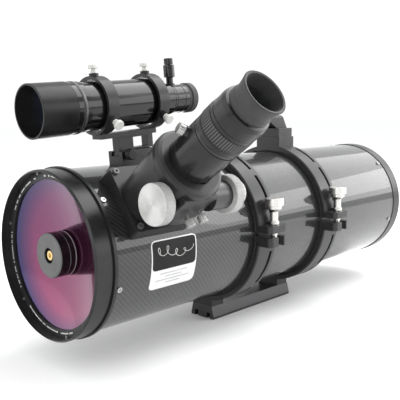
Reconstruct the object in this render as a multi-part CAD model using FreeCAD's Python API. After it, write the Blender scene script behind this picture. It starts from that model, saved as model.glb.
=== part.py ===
import FreeCAD, Part
import math
import os

from FreeCAD import Placement, Rotation, Vector

# A 152 mm Maksutov-Newtonian telescope tube with its rings, dovetail bar, carry handle, focuser,
# eyepiece and finder. Millimetres. While it is built, +X runs along the optical axis from the front
# lip (x = 0, z = 0 on the axis) to the rear cell, +Z is up and the focuser leans to -Y. Each piece is
# moved at the end so that the origin is the middle of the dovetail bar's underside.

# ---- optical tube ----
TUBE_OD = 193.0
TUBE_WALL = 3.0
TUBE_FRONT = 27.0
TUBE_REAR = 622.9
CELL_LIP_STEP = 1.5
CELL_FLANGE_STEP = 3.5
FRONT_FLANGE_LENGTH = 4.0
SPIGOT_LENGTH = 18.0
SPIGOT_WALL = 6.0
REAR_CELL_LENGTH = 23.9
CELL_SCREW_ANGLE = 43.5

# ---- corrector and secondary ----
CORRECTOR_INSET = 1.0
CORRECTOR_RIM = 6.0
CORRECTOR_FRONT_CURVE_R = 240.0
CORRECTOR_REAR_CURVE_R = 246.0
CORRECTOR_THICKNESS = 14.0
CORRECTOR_HOLE_R = 7.0
CORRECTOR_FIT = 0.8
RETAINER_SET_BACK = 11.0
RETAINER_THICKNESS = 3.2
HOLDER_R = 26.0
HOLDER_SET_BACK = 6.0
HOLDER_CAP_LENGTH = 12.4
HOLDER_RECESS_R = 9.0
HOLDER_RECESS_DEPTH = 4.0
DIAGONAL_R = 24.0
DIAGONAL_THICKNESS = 7.0
HUB_THICKNESS = 2.5

# ---- primary mirror ----
MIRROR_EDGE_GAP = 12.5
MIRROR_THICKNESS = 25.0
MIRROR_CURVE_R = 1462.0
MIRROR_FACE_X = 586.0
MIRROR_PLATE_THICKNESS = 6.0
PAD_HEIGHT = 3.0
BACKPLATE_THICKNESS = 5.0
BACKPLATE_SET_IN = 9.0
COLLIMATION_CIRCLE_R = 70.0
COLLIMATION_SHANK_R = 3.0
COLLIMATION_KNOB_R = 9.0

# ---- rings, handle and dovetail bar ----
RING_BAND = 7.93
RING_WIDTH = 36.0
RING_FRONT_X = 252.0
RING_SPACING = 150.0
FELT_THICKNESS = 1.5
HINGE_REACH = 4.5
HINGE_PIN_R = 3.0
KNUCKLE_R = 7.0
EAR_REACH = 18.0
EAR_THICKNESS = 9.0
LOWER_EAR_THICKNESS = 12.0
EAR_GAP = 6.0
CLAMP_STEM_R = 4.5
CLAMP_HEAD_R = 12.6
CLAMP_HEAD_LENGTH = 10.0
CLAMP_TOP_Z = 47.0
CLAMP_BEHIND = 3.5
CLAMP_COLLAR = 2.2
CLAMP_CUP_R = 10.0
HANDLE_RISE = 46.0
HANDLE_BAR_THICKNESS = 14.0
HANDLE_BAR_WIDTH = 26.0
HANDLE_FOOT_WIDTH = 44.0
BAR_LENGTH = 176.0
BAR_WIDTH = 44.0
BAR_TOP_WIDTH = 37.0
BAR_HEIGHT = 17.7
BAR_CHANNEL_DEPTH = 8.0
BAR_RIB = 8.5
BAR_FLANGE = 7.0
TRIPOD_HOLE_R = 2.6
TRIPOD_HOLE_DEPTH = 11.0
TRIPOD_HOLE_AHEAD = 40.0
RING_FOOT_LENGTH = 24.0
RING_FOOT_DROP = 8.0
HANDLE_PAD_DEPTH = 10.0

# ---- focuser ----
FOCUSER_X = 81.0
FOCUSER_ANGLE = 34.8
BASE_FRONT = 34.0
BASE_REAR = 50.0
BASE_NEAR = 34.0
BASE_FAR = 46.0
LIGHT_HOLE_R = 31.0
BASE_THICKNESS = 12.5
SADDLE_DEPTH = 36.5
BODY_FOOT_R = 33.5
BODY_RIM_R = 40.5
BODY_HEIGHT = 81.0
LOWER_GUIDE = 30.0
UPPER_GUIDE = 16.0
BLOCK_HALF = 24.0
DRAWTUBE_R = 27.0
DRAWTUBE_BORE_R = 25.46
DRAWTUBE_LENGTH = 122.0
DRAWTUBE_RISE = 125.0
FLAT_DEPTH = 0.8
FOCUS_OUT = 24.0
SHAFT_R = 4.0
SHAFT_RISE = 56.0
SHAFT_BUSH_R = 6.5
HOUSING_R = 15.5
HOUSING_LENGTH = 26.0
COARSE_KNOB_R = 21.5
COARSE_KNOB_LENGTH = 12.0
COARSE_KNOB_OFFSET = 39.5
SHAFT_HUB_R = 7.0
FINE_KNOB_R = 14.0
FINE_KNOB_LENGTH = 11.0
FINE_SPINDLE_R = 2.0
THUMB_SCREW_DROP = 13.0
SIDE_SCREW_STEM_R = 2.0
SIDE_SCREW_HEAD_R = 5.0

# ---- eyepiece ----
BARREL_R = 25.4
BARREL_LENGTH = 38.0
EYEPIECE_R = 27.0
EYEPIECE_BODY_LENGTH = 49.0
EYEPIECE_NECK_R = 22.0
EYECUP_R = 24.5
EYECUP_BORE_R = 19.0
EYECUP_LENGTH = 24.0

# ---- finder ----
FINDER_FRONT_X = -19.0
FINDER_Y = -16.0
FINDER_RISE = 64.5
FINDER_PITCH = 4.0
DEW_SHIELD_R = 29.5
DEW_SHIELD_LENGTH = 44.0
LOCK_RING_R = 28.9
LOCK_RING_END = 61.0
OBJECTIVE_SET_IN = 22.0
OBJECTIVE_THICKNESS = 7.0
FINDER_TUBE_END = 180.0
FINDER_NECK_R = 20.0
FINDER_OCULAR_R = 17.5
FINDER_LENGTH = 236.0
FINDER_WALL = 2.0
FINDER_RING_R = 33.5
FINDER_RING_BORE_R = 30.0
FINDER_RING_WIDTH = 15.0
FINDER_RING_STATIONS = (80.0, 156.0)
FINDER_SCREW_R = 2.5
FINDER_KNOB_R = 5.7
SHOE_START = 108.0
SHOE_LENGTH = 50.0
SHOE_WIDTH = 26.0
SHOE_TOP_DROP = 55.0
FOOT_WIDTH = 16.0
FOOT_HEIGHT = 6.0
FOOT_LENGTH = 44.0
ILLUMINATOR_STATION = 204.0
ILLUMINATOR_LENGTH = 27.0
SWITCH_PIN_R = 2.0

# ---- fits ----
RUNNING = 0.05
SLIDE_FIT = 0.07
CLEAR = 0.3
SCREW_SOCKET_DEPTH = 1.6

TUBE_R = TUBE_OD / 2
TUBE_BORE_R = TUBE_R - TUBE_WALL
CELL_LIP_R = TUBE_R + CELL_LIP_STEP
CELL_FLANGE_R = TUBE_R + CELL_FLANGE_STEP
CORRECTOR_R = TUBE_BORE_R - CORRECTOR_INSET
CORRECTOR_CLEAR_R = CORRECTOR_R - CORRECTOR_RIM
MIRROR_R = TUBE_BORE_R - MIRROR_EDGE_GAP
RING_BORE_R = TUBE_R + SLIDE_FIT + FELT_THICKNESS
RING_R = RING_BORE_R + RING_BAND
RING_STARTS = (RING_FRONT_X, RING_FRONT_X + RING_SPACING)
HINGE_Y = RING_R + HINGE_REACH
EAR_Y = -RING_R - EAR_REACH
CLAMP_Y = -RING_R - EAR_REACH / 2 + 2.5
BAR_CENTRE_X = RING_FRONT_X + BAR_LENGTH / 2
FINDER_TUBE_R = DEW_SHIELD_R - FINDER_WALL - SLIDE_FIT
BAR_TOP_Z = -RING_R - RING_FOOT_DROP
BAR_BOTTOM_Z = BAR_TOP_Z - BAR_HEIGHT
HANDLE_TOP_Z = RING_R + HANDLE_RISE
BASE_TOP = TUBE_R + BASE_THICKNESS
BODY_TOP = BASE_TOP + BODY_HEIGHT
SHAFT_HEIGHT = BASE_TOP + SHAFT_RISE
DRAWTUBE_TOP = BASE_TOP + DRAWTUBE_RISE
FINDER_Z = TUBE_R + FINDER_RISE
REAR_X = TUBE_REAR + REAR_CELL_LENGTH
TO_ORIGIN = Vector(-BAR_CENTRE_X, 0, -BAR_BOTTOM_Z)
SHAFT_OFFSET = DRAWTUBE_R - FLAT_DEPTH + SHAFT_R + RUNNING

ALONG_X = Placement(Vector(0, 0, 0), Rotation(Vector(0, 1, 0), 90))
FOCUSER = Placement(Vector(FOCUSER_X, 0, 0), Rotation(Vector(1, 0, 0), 90 - FOCUSER_ANGLE))
FINDER = Placement(Vector(FINDER_FRONT_X, FINDER_Y, FINDER_Z), Rotation(Vector(0, 1, 0), -FINDER_PITCH))


# ---- shape helpers ----
def box(x0, x1, y0, y1, z0, z1):
    return Part.makeBox(x1 - x0, y1 - y0, z1 - z0, Vector(x0, y0, z0))


def rod(radius, start, end):
    """A cylinder about +Z."""
    return Part.makeCylinder(radius, end - start, Vector(0, 0, start))


def sleeve(outer, inner, start, end):
    return rod(outer, start, end).cut(rod(inner, start - 1, end + 1))


def spun(corners):
    """A solid of revolution about +Z from its (radius, height) corners."""
    points = [Vector(radius, 0, height) for radius, height in corners]
    face = Part.Face(Part.makePolygon(points + points[:1]))
    return face.revolve(Vector(0, 0, 0), Vector(0, 0, 1), 360)


def placed(shape, place):
    moved = shape.copy()
    moved.Placement = place.multiply(moved.Placement)
    return moved


def along_x(shape, start=0.0):
    """Turn a shape built about +Z so that it lies about +X."""
    return placed(shape, Placement(Vector(start, 0, 0), Rotation()).multiply(ALONG_X))


def turned(shape, degrees, axis=Vector(0, 0, 1)):
    return placed(shape, Placement(Vector(0, 0, 0), Rotation(axis, degrees)))


def aimed(shape, foot, direction):
    """Stand a shape built about +Z at a foot point, along a direction."""
    return placed(shape, Placement(foot, Rotation(Vector(0, 0, 1), direction)))


def around_tube(radius, degrees, x):
    """A point about the tube's axis; 0 degrees is -Y and 90 degrees is up."""
    angle = math.radians(degrees)
    return Vector(x, -radius * math.cos(angle), radius * math.sin(angle))


def outward(degrees):
    return around_tube(1, degrees, 0)


def prism(points, direction):
    """Extrude a closed polygon of 3-D points."""
    return Part.Face(Part.makePolygon(points + points[:1])).extrude(direction)


def spread(shape, count, first=0.0):
    """Copies of a shape, evenly spaced about +Z."""
    return [turned(shape, first + 360.0 * i / count) for i in range(count)]


def group(shapes):
    return Part.makeCompound(shapes)


def rounded_rod(radius, start, end, edge):
    """A cylinder about +Z with both rims rounded."""
    rim = rod(radius, start, end)
    return rim.makeFillet(edge, [rim.Edges[0], rim.Edges[2]])


def cap_screw(head_r, head_h, shank_r, shank_l):
    """A socket-head screw about +Z: the head stands on z = 0, the shank hangs below."""
    head = rod(head_r, 0, head_h)
    shank = rod(shank_r, -shank_l, 0)
    reach = head_r * 0.5
    corners = [Vector(reach * math.cos(a), reach * math.sin(a), head_h) for a in
               (math.radians(60 * i) for i in range(6))]
    depth = min(SCREW_SOCKET_DEPTH, head_h * 0.6)
    return head.fuse(shank).cut(prism(corners, Vector(0, 0, -depth)))


def fluted_knob(radius, length, flutes, depth):
    """A hand knob about +Z with scallops round its rim."""
    knob = rounded_rod(radius, 0, length, 1.0)
    scallop = rod(depth * 2, -1, length + 1)
    scallop.translate(Vector(radius + depth, 0, 0))
    return knob.cut(group(spread(scallop, flutes)))


# ---- optical tube ----
def curved_face_rise(curve_r, radius):
    """How far a spherical face has come forward at a radius."""
    return curve_r - math.sqrt(curve_r ** 2 - radius ** 2)


RETAINER_BACK = RETAINER_SET_BACK + RETAINER_THICKNESS
LENS_FRONT = RETAINER_BACK + curved_face_rise(CORRECTOR_FRONT_CURVE_R, CORRECTOR_CLEAR_R)
LENS_BACK = LENS_FRONT + CORRECTOR_THICKNESS
SEAT_X = LENS_BACK - curved_face_rise(CORRECTOR_REAR_CURVE_R, CORRECTOR_CLEAR_R)


def ball(front_x, curve_r):
    """The ball whose rearmost point lies on the axis at a given place."""
    return Part.makeSphere(curve_r, Vector(front_x - curve_r, 0, 0))


def corrector_lens():
    """A meniscus, hollow towards -X, with a flat rim and a hole for the holder's bolt."""
    rim = along_x(rod(CORRECTOR_R, RETAINER_BACK, SEAT_X))
    dome = along_x(rod(CORRECTOR_CLEAR_R, RETAINER_BACK, LENS_BACK + 1))
    dome = dome.common(ball(LENS_BACK, CORRECTOR_REAR_CURVE_R))
    hole = along_x(rod(CORRECTOR_HOLE_R, 0, LENS_BACK + 2))
    return rim.fuse(dome).cut([ball(LENS_FRONT, CORRECTOR_FRONT_CURVE_R), hole]).removeSplitter()


def front_cell():
    lip = CELL_LIP_R
    flange = CELL_FLANGE_R
    flange_x = TUBE_FRONT - FRONT_FLANGE_LENGTH
    bore = CORRECTOR_R + CORRECTOR_FIT
    mouth = CORRECTOR_R + 3
    seat_bore = CORRECTOR_CLEAR_R + 0.5
    end = TUBE_FRONT + SPIGOT_LENGTH
    return along_x(spun([
        (mouth, 0), (lip - 2, 0), (lip, 2), (lip, flange_x - 2), (lip - 1, flange_x - 2),
        (lip - 1, flange_x), (flange, flange_x), (flange, TUBE_FRONT), (TUBE_BORE_R, TUBE_FRONT),
        (TUBE_BORE_R, end), (seat_bore, end), (seat_bore, SEAT_X), (bore, SEAT_X),
        (bore, RETAINER_BACK), (mouth, RETAINER_BACK)]))


def retaining_ring():
    return along_x(sleeve(CORRECTOR_R + 2.9, CORRECTOR_CLEAR_R - 0.3, RETAINER_SET_BACK, RETAINER_BACK))


def retaining_screws():
    screws = []
    for i in range(6):
        foot = around_tube(CORRECTOR_R + 1.9, CELL_SCREW_ANGLE + 60 * i, RETAINER_SET_BACK)
        screw = aimed(cap_screw(2.0, 1.2, 0.8, RETAINER_THICKNESS + 6), foot, Vector(-1, 0, 0))
        screws.append(screw)
    return group(screws)


def spigot_screws():
    """Button-head screws through the tube into the spigots of both cells."""
    screws = []
    for x in (TUBE_FRONT + 5.5, TUBE_REAR - 7):
        for i in range(6):
            degrees = CELL_SCREW_ANGLE + 60 * i
            screw = cap_screw(3.2, 1.6, 1.5, TUBE_WALL + SPIGOT_WALL - 1)
            screws.append(aimed(screw, around_tube(TUBE_R, degrees, x), outward(degrees)))
    return group(screws)


def cell_screws():
    return group([spigot_screws(), retaining_screws()])


def focuser_opening():
    """The hole that the light path needs through the tube's wall."""
    return placed(rod(LIGHT_HOLE_R, TUBE_R - SADDLE_DEPTH, BASE_TOP), FOCUSER)


def carbon_tube():
    wall = along_x(sleeve(TUBE_R, TUBE_BORE_R, TUBE_FRONT, TUBE_REAR))
    holes = [spigot_screws(), focuser_opening(), placed(base_screws(), FOCUSER)]
    return wall.cut(holes)


def rear_cell():
    lip = CELL_LIP_R - 0.4
    start = TUBE_REAR
    bore = TUBE_BORE_R - SPIGOT_WALL
    floor_x = REAR_X - BACKPLATE_SET_IN - BACKPLATE_THICKNESS
    ring = along_x(spun([
        (TUBE_BORE_R, TUBE_REAR - SPIGOT_LENGTH), (TUBE_BORE_R, start), (lip - 1, start),
        (lip - 1, start + 0.8), (lip, start + 1.8), (lip, REAR_X - 3), (lip - 3, REAR_X),
        (bore + 3, REAR_X), (bore + 3, floor_x), (bore, floor_x), (bore, TUBE_REAR - SPIGOT_LENGTH)]))
    return ring.cut(spigot_screws())


# ---- secondary ----
def secondary_cap():
    """The round holder in front of the corrector, with a line turned into it."""
    end = LENS_FRONT - curved_face_rise(CORRECTOR_FRONT_CURVE_R, HOLDER_R)
    cap = rounded_rod(HOLDER_R, HOLDER_SET_BACK, end, 2)
    line = HOLDER_SET_BACK + HOLDER_CAP_LENGTH
    cap = cap.cut(group([sleeve(HOLDER_R + 1, HOLDER_R - 0.6, line, line + 0.8),
                         rod(HOLDER_RECESS_R, 0, HOLDER_SET_BACK + HOLDER_RECESS_DEPTH)]))
    return along_x(cap).cut(secondary_bolt())


def secondary_bolt():
    """The brass bolt that clamps the holder to the corrector through its central hole."""
    floor_x = HOLDER_SET_BACK + HOLDER_RECESS_DEPTH
    end = LENS_BACK + HUB_THICKNESS + 3
    return aimed(cap_screw(5.5, 2.5, 4, end - floor_x), Vector(floor_x, 0, 0), Vector(-1, 0, 0))


def diagonal_cut(depth):
    """Everything in front of a plane at 45 degrees to the axis, a depth behind the mirror's face."""
    block = box(-200, 0, -100, 100, -100, 100)
    facing = Rotation(Vector(0, 1, 0), -45)
    leaning = Placement(Vector(FOCUSER_X, 0, 0), Rotation(Vector(1, 0, 0), 90 - FOCUSER_ANGLE))
    block = placed(block, Placement(Vector(0, 0, 0), facing))
    block.translate(Vector(-depth * math.sqrt(2), 0, 0))
    return placed(block, leaning)


def secondary_holder():
    """The hub behind the corrector and the slanted post that carries the diagonal."""
    hub = along_x(rod(HOLDER_R - 1, LENS_BACK, LENS_BACK + HUB_THICKNESS))
    post = along_x(rod(DIAGONAL_R - 1, LENS_BACK + 1, FOCUSER_X + 60))
    post = post.common(diagonal_cut(DIAGONAL_THICKNESS))
    return hub.fuse(post).removeSplitter().cut(secondary_bolt())


def secondary_mirror():
    glass = along_x(rod(DIAGONAL_R, FOCUSER_X - 60, FOCUSER_X + 60))
    return glass.common(diagonal_cut(0)).cut(diagonal_cut(DIAGONAL_THICKNESS))


# ---- primary mirror and its cell ----
MIRROR_BACK = MIRROR_FACE_X + MIRROR_THICKNESS
PLATE_FRONT = MIRROR_BACK + PAD_HEIGHT
PLATE_BACK = PLATE_FRONT + MIRROR_PLATE_THICKNESS
BACKPLATE_BACK = REAR_X - BACKPLATE_SET_IN
BACKPLATE_FRONT = BACKPLATE_BACK - BACKPLATE_THICKNESS


def primary_mirror():
    face = MIRROR_FACE_X + curved_face_rise(MIRROR_CURVE_R, MIRROR_R)
    disc = along_x(rod(MIRROR_R, MIRROR_FACE_X, MIRROR_BACK))
    return disc.cut(ball(face, MIRROR_CURVE_R))


def mirror_plate():
    """The plate behind the mirror, with three raised pads."""
    plate = rod(MIRROR_R + 4, PLATE_FRONT, PLATE_BACK)
    plate = plate.cut(group([rod(28, PLATE_FRONT - 1, PLATE_BACK + 1)]
                            + spread(offset_rod(8, 48, PLATE_FRONT - 1, PLATE_BACK + 1), 3, 90)))
    pads = spread(offset_rod(9, 55, MIRROR_BACK, PLATE_FRONT), 3, 30)
    return along_x(plate.fuse(pads)).cut(collimation_bores(RUNNING))


def offset_rod(radius, offset, start, end):
    hole = rod(radius, start, end)
    hole.translate(Vector(offset, 0, 0))
    return hole


def mirror_clips():
    """Three posts on the plate that hold the mirror's edge."""
    reach = MIRROR_R + 4
    post = box(MIRROR_R + CLEAR, reach, -8, 8, MIRROR_FACE_X - 4, PLATE_FRONT)
    lip = box(MIRROR_R - 3, reach, -8, 8, MIRROR_FACE_X - 4, MIRROR_FACE_X - CLEAR)
    return group([along_x(c) for c in spread(post.fuse(lip), 3, 30)])


def collimation_places():
    """Points on the collimation circle, where the axis meets the mirror plate's front."""
    return [around_tube(COLLIMATION_CIRCLE_R, 90 + 120 * i, PLATE_FRONT) for i in range(3)]


def collimation_bores(clearance):
    length = BACKPLATE_BACK - PLATE_FRONT + 1
    return group([aimed(rod(COLLIMATION_SHANK_R + clearance, -0.5, length), foot, Vector(1, 0, 0))
                  for foot in collimation_places()])


def collimation_knob(foot):
    start = BACKPLATE_BACK + CLEAR - PLATE_FRONT
    knob = fluted_knob(COLLIMATION_KNOB_R, REAR_X - BACKPLATE_BACK - 1.5, 12, 0.8)
    knob.translate(Vector(0, 0, start))
    return aimed(knob.fuse(rod(COLLIMATION_SHANK_R, 0.5, start + 1)), foot, Vector(1, 0, 0))


def rear_backplate():
    outer = TUBE_BORE_R - SPIGOT_WALL + 3
    plate = rod(outer, BACKPLATE_FRONT, BACKPLATE_BACK)
    vents = [offset_rod(7, 44, BACKPLATE_FRONT - 1, BACKPLATE_BACK + 1)]
    holes = spread(vents[0], 8) + [rod(20, BACKPLATE_FRONT - 1, BACKPLATE_BACK + 1)]
    return along_x(plate.cut(group(holes))).cut(collimation_bores(RUNNING))


# ---- rings ----
def arc_pocket(inner, outer, start, width, first, last):
    """A band about the tube's axis from one angle to another."""
    points = [Vector(start, -inner, 0), Vector(start, -outer, 0),
              Vector(start + width, -outer, 0), Vector(start + width, -inner, 0)]
    face = Part.Face(Part.makePolygon(points + points[:1]))
    band = face.revolve(Vector(0, 0, 0), Vector(1, 0, 0), first - last)
    return turned(band, -first, Vector(1, 0, 0))


def ring_band(start, upper):
    """Half of a ring's band with its recessed slots."""
    inner = RING_BORE_R
    edge = 1.5
    profile = spun([(inner + edge, 0), (RING_R - edge, 0), (RING_R, edge),
                    (RING_R, RING_WIDTH - edge), (RING_R - edge, RING_WIDTH),
                    (inner + edge, RING_WIDTH), (inner, RING_WIDTH - edge), (inner, edge)])
    band = along_x(profile, start)
    gap = EAR_GAP / 2
    reach = RING_R + 40
    half = box(start - 1, start + RING_WIDTH + 1, -reach, reach, gap, reach)
    if not upper:
        half = turned(half, 180, Vector(1, 0, 0))
    pockets = []
    for first, last in ((14, 44), (50, 72), (108, 130), (136, 160)):
        if not upper:
            first, last = -last, -first
        pockets.append(arc_pocket(RING_R - 5, RING_R + 2, start + RING_WIDTH - 12, 5, first, last))
    return band.common(half).cut(group(pockets))


def about_hinge(radius, start, end):
    """A cylinder about the hinge's axis: a knuckle, its bore or the room round it."""
    barrel = along_x(rod(radius, start, end))
    barrel.translate(Vector(0, HINGE_Y, 0))
    return barrel


def hinge_web(start, end, upper):
    """The web that joins a knuckle to the band."""
    low, high = (EAR_GAP / 2, KNUCKLE_R + 6)
    if not upper:
        low, high = (-high, -low)
    return box(start, end, RING_R - 8, HINGE_Y + KNUCKLE_R - 2, low, high)


def ring_half(start, upper):
    """A ring half with its clamp ear and its share of the hinge."""
    third = RING_WIDTH / 3
    own = [(start + third + CLEAR, start + 2 * third - CLEAR)]
    other = [(start, start + third), (start + 2 * third, start + RING_WIDTH)]
    if upper:
        own, other = other, own
    swing_room = [about_hinge(KNUCKLE_R + CLEAR, a - CLEAR, b + CLEAR) for a, b in other]
    hinge = [about_hinge(KNUCKLE_R, a, b) for a, b in own] + [hinge_web(a, b, upper) for a, b in own]
    bore = about_hinge(HINGE_PIN_R + RUNNING, start - 2, start + RING_WIDTH + 2)
    tube_room = along_x(rod(RING_BORE_R, start - 1, start + RING_WIDTH + 1))
    ring = ring_band(start, upper).cut(group(swing_room))
    body = ring.fuse(hinge + [ring_ear(start, upper)]).cut(group([bore, clamp_opening(start, upper)]))
    return body.cut(tube_room).removeSplitter()


def ring_ear(start, upper):
    gap = EAR_GAP / 2
    inner = -RING_R + 6
    if upper:
        ear = box(start, start + RING_WIDTH, EAR_Y, inner, gap, gap + EAR_THICKNESS)
    else:
        ear = box(start, start + RING_WIDTH, EAR_Y, inner, -gap - LOWER_EAR_THICKNESS, -gap)
    edges = [e for e in ear.Edges if e.BoundBox.YMax < EAR_Y + 1 and e.BoundBox.ZLength > 1]
    return ear.makeFillet(6, edges)


def clamp_opening(start, upper):
    """The upper ear is bored for the clamp screw; the lower ear has a slot open to the outside."""
    x = start + RING_WIDTH / 2 + CLAMP_BEHIND
    if upper:
        hole = rod(CLAMP_STEM_R + RUNNING, -5, 40)
        hole.translate(Vector(x, CLAMP_Y, 0))
        return hole
    half = CLAMP_STEM_R + 1
    slot = box(x - half, x + half, EAR_Y - 1, CLAMP_Y, -60, 0)
    end = rod(half, -60, 0)
    end.translate(Vector(x, CLAMP_Y, 0))
    return slot.fuse(end)


def lower_ring(start):
    ring = ring_half(start, False)
    foot = box(start, start + RING_FOOT_LENGTH, -BAR_TOP_WIDTH / 2, BAR_TOP_WIDTH / 2,
               BAR_TOP_Z, -RING_R + 8)
    tube_room = along_x(rod(RING_BORE_R, start - 1, start + RING_WIDTH + 1))
    return ring.fuse(foot).cut(group([tube_room, bar_screws()])).removeSplitter()


def upper_ring(start):
    ring = ring_half(start, True)
    half = HANDLE_FOOT_WIDTH / 2
    pad = box(start, start + RING_WIDTH, -half, half, RING_R - HANDLE_PAD_DEPTH, RING_R + 0.5)
    tube_room = along_x(rod(RING_BORE_R, start - 1, start + RING_WIDTH + 1))
    return ring.fuse(pad).cut(tube_room).removeSplitter()


def felt_liners(upper):
    """Felt strips glued inside the ring halves."""
    gap = EAR_GAP / 2
    liners = []
    for start in RING_STARTS:
        liner = along_x(sleeve(RING_BORE_R, TUBE_R + SLIDE_FIT, start + 1.5, start + RING_WIDTH - 1.5))
        half = box(start, start + RING_WIDTH, -RING_R, RING_R, gap, RING_R)
        if not upper:
            half = turned(half, 180, Vector(1, 0, 0))
        liners.append(liner.common(half))
    return group(liners)


def hinge_pins():
    pins = []
    for start in RING_STARTS:
        pin = along_x(rounded_rod(HINGE_PIN_R, start - 1, start + RING_WIDTH + 1, 0.8))
        pin.translate(Vector(0, HINGE_Y, 0))
        pins.append(pin)
    return group(pins)


def clamp_screw(start):
    """A thumb screw with a wide turned head on a tall stem."""
    shoulder = EAR_GAP / 2 + EAR_THICKNESS + CLEAR
    head = rounded_rod(CLAMP_HEAD_R, CLAMP_TOP_Z - CLAMP_HEAD_LENGTH, CLAMP_TOP_Z, 1.0)
    collar = CLAMP_STEM_R + CLAMP_COLLAR
    cup = CLAMP_TOP_Z - CLAMP_HEAD_LENGTH
    neck = spun([(0, shoulder), (collar, shoulder), (collar, shoulder + 3),
                 (CLAMP_STEM_R + 0.8, shoulder + 5), (CLAMP_STEM_R + 0.8, cup - 8),
                 (CLAMP_CUP_R, cup - 4), (CLAMP_CUP_R, cup + 1), (0, cup + 1)])
    stem = rod(CLAMP_STEM_R, -EAR_GAP / 2 - LOWER_EAR_THICKNESS + 2, shoulder + 1)
    screw = head.fuse([neck, stem])
    screw.translate(Vector(start + RING_WIDTH / 2 + CLAMP_BEHIND, CLAMP_Y, 0))
    return screw


# ---- handle and dovetail bar ----
def carry_handle():
    """A bridge handle with stepped end blocks over both rings."""
    first, last = (RING_STARTS[0], RING_STARTS[1] + RING_WIDTH)
    base = RING_R + 0.5
    step_one = HANDLE_TOP_Z - 33
    step_two = HANDLE_TOP_Z - 20
    half_foot = HANDLE_FOOT_WIDTH / 2
    half_bar = HANDLE_BAR_WIDTH / 2
    feet = []
    for start in RING_STARTS:
        feet.append(box(start, start + RING_WIDTH, -half_foot, half_foot, base, step_one))
        feet.append(box(start + 1.5, start + RING_WIDTH - 1.5, -half_foot + 2, half_foot - 2,
                        step_one, step_two))
    under = HANDLE_TOP_Z - HANDLE_BAR_THICKNESS
    outline = [Vector(first + 5, -half_bar, step_two), Vector(first + 16, -half_bar, HANDLE_TOP_Z),
               Vector(last - 16, -half_bar, HANDLE_TOP_Z), Vector(last - 5, -half_bar, step_two),
               Vector(last - RING_WIDTH + 6, -half_bar, step_two),
               Vector(last - RING_WIDTH - 4, -half_bar, under),
               Vector(first + RING_WIDTH + 4, -half_bar, under),
               Vector(first + RING_WIDTH - 6, -half_bar, step_two)]
    bridge = prism(outline, Vector(0, HANDLE_BAR_WIDTH, 0))
    edges = [e for e in bridge.Edges if e.BoundBox.XLength > 100 and e.BoundBox.ZLength < 0.01]
    bridge = bridge.makeFillet(4, edges)
    return bridge.fuse(feet).removeSplitter()


def dovetail_bar():
    length = BAR_LENGTH
    start = BAR_CENTRE_X - length / 2
    top, bottom = (BAR_TOP_WIDTH / 2, BAR_WIDTH / 2)
    section = [Vector(start, -bottom, BAR_BOTTOM_Z), Vector(start, -bottom, BAR_BOTTOM_Z + 3),
               Vector(start, -top, BAR_TOP_Z), Vector(start, top, BAR_TOP_Z),
               Vector(start, bottom, BAR_BOTTOM_Z + 3), Vector(start, bottom, BAR_BOTTOM_Z)]
    bar = prism(section, Vector(length, 0, 0))
    channels = []
    for near, far in ((BAR_RIB, bottom - BAR_FLANGE), (BAR_FLANGE - bottom, -BAR_RIB)):
        channels.append(box(start - 1, start + length + 1, near, far,
                            BAR_BOTTOM_Z - 1, BAR_BOTTOM_Z + BAR_CHANNEL_DEPTH))
    wells = []
    for ring_x in RING_STARTS:
        well = rod(5.6, BAR_BOTTOM_Z - 1, BAR_BOTTOM_Z + 6.6)
        well.translate(Vector(ring_x + RING_FOOT_LENGTH / 2, 0, 0))
        wells.append(well)
    return bar.cut(group(channels + wells + [bar_screws(), tripod_hole()]))


def tripod_hole():
    hole = rod(TRIPOD_HOLE_R, -1, TRIPOD_HOLE_DEPTH)
    hole.translate(Vector(BAR_CENTRE_X - TRIPOD_HOLE_AHEAD, 0, BAR_BOTTOM_Z))
    return hole


def bar_screws():
    """One screw up through the bar into each ring's foot."""
    screws = []
    for start in RING_STARTS:
        foot = Vector(start + RING_FOOT_LENGTH / 2, 0, BAR_BOTTOM_Z + 6.5)
        screws.append(aimed(cap_screw(5.5, 5.5, 3, BAR_HEIGHT - 6.5 + 10), foot, Vector(0, 0, -1)))
    return group(screws)


# ---- focuser, built about +Z with the tube's axis at z = 0 and -Y on its lower side ----
def focuser_base():
    """A saddle plate whose underside fits the tube."""
    plate = box(-BASE_FRONT, BASE_REAR, -BASE_NEAR, BASE_FAR, TUBE_R - SADDLE_DEPTH, BASE_TOP)
    edges = [e for e in plate.Edges if e.BoundBox.ZLength > 10]
    plate = plate.makeFillet(3, edges)
    tube = along_x(rod(TUBE_R, -80, 80))
    return plate.cut(group([tube, rod(LIGHT_HOLE_R, 0, BASE_TOP + 1), base_screws()]))


def base_screws():
    screws = []
    for x in (-BASE_FRONT + 6, BASE_REAR - 6):
        for y in (-BASE_NEAR + 6, BASE_FAR - 6):
            screw = cap_screw(3.5, 2.6, 1.6, BASE_TOP - TUBE_BORE_R + 11)
            screws.append(aimed(screw, Vector(x, y, BASE_TOP), Vector(0, 0, 1)))
    return group(screws)


def body_outline():
    """The body's outer cone with its rim, filled to the axis."""
    return spun([(0, BASE_TOP), (BODY_FOOT_R, BASE_TOP), (BODY_RIM_R - 0.6, BODY_TOP - 14),
                 (BODY_RIM_R, BODY_TOP - 10), (BODY_RIM_R, BODY_TOP - 5), (BODY_RIM_R - 1.5, BODY_TOP - 1.5),
                 (BODY_RIM_R - 5, BODY_TOP), (0, BODY_TOP)])


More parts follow.
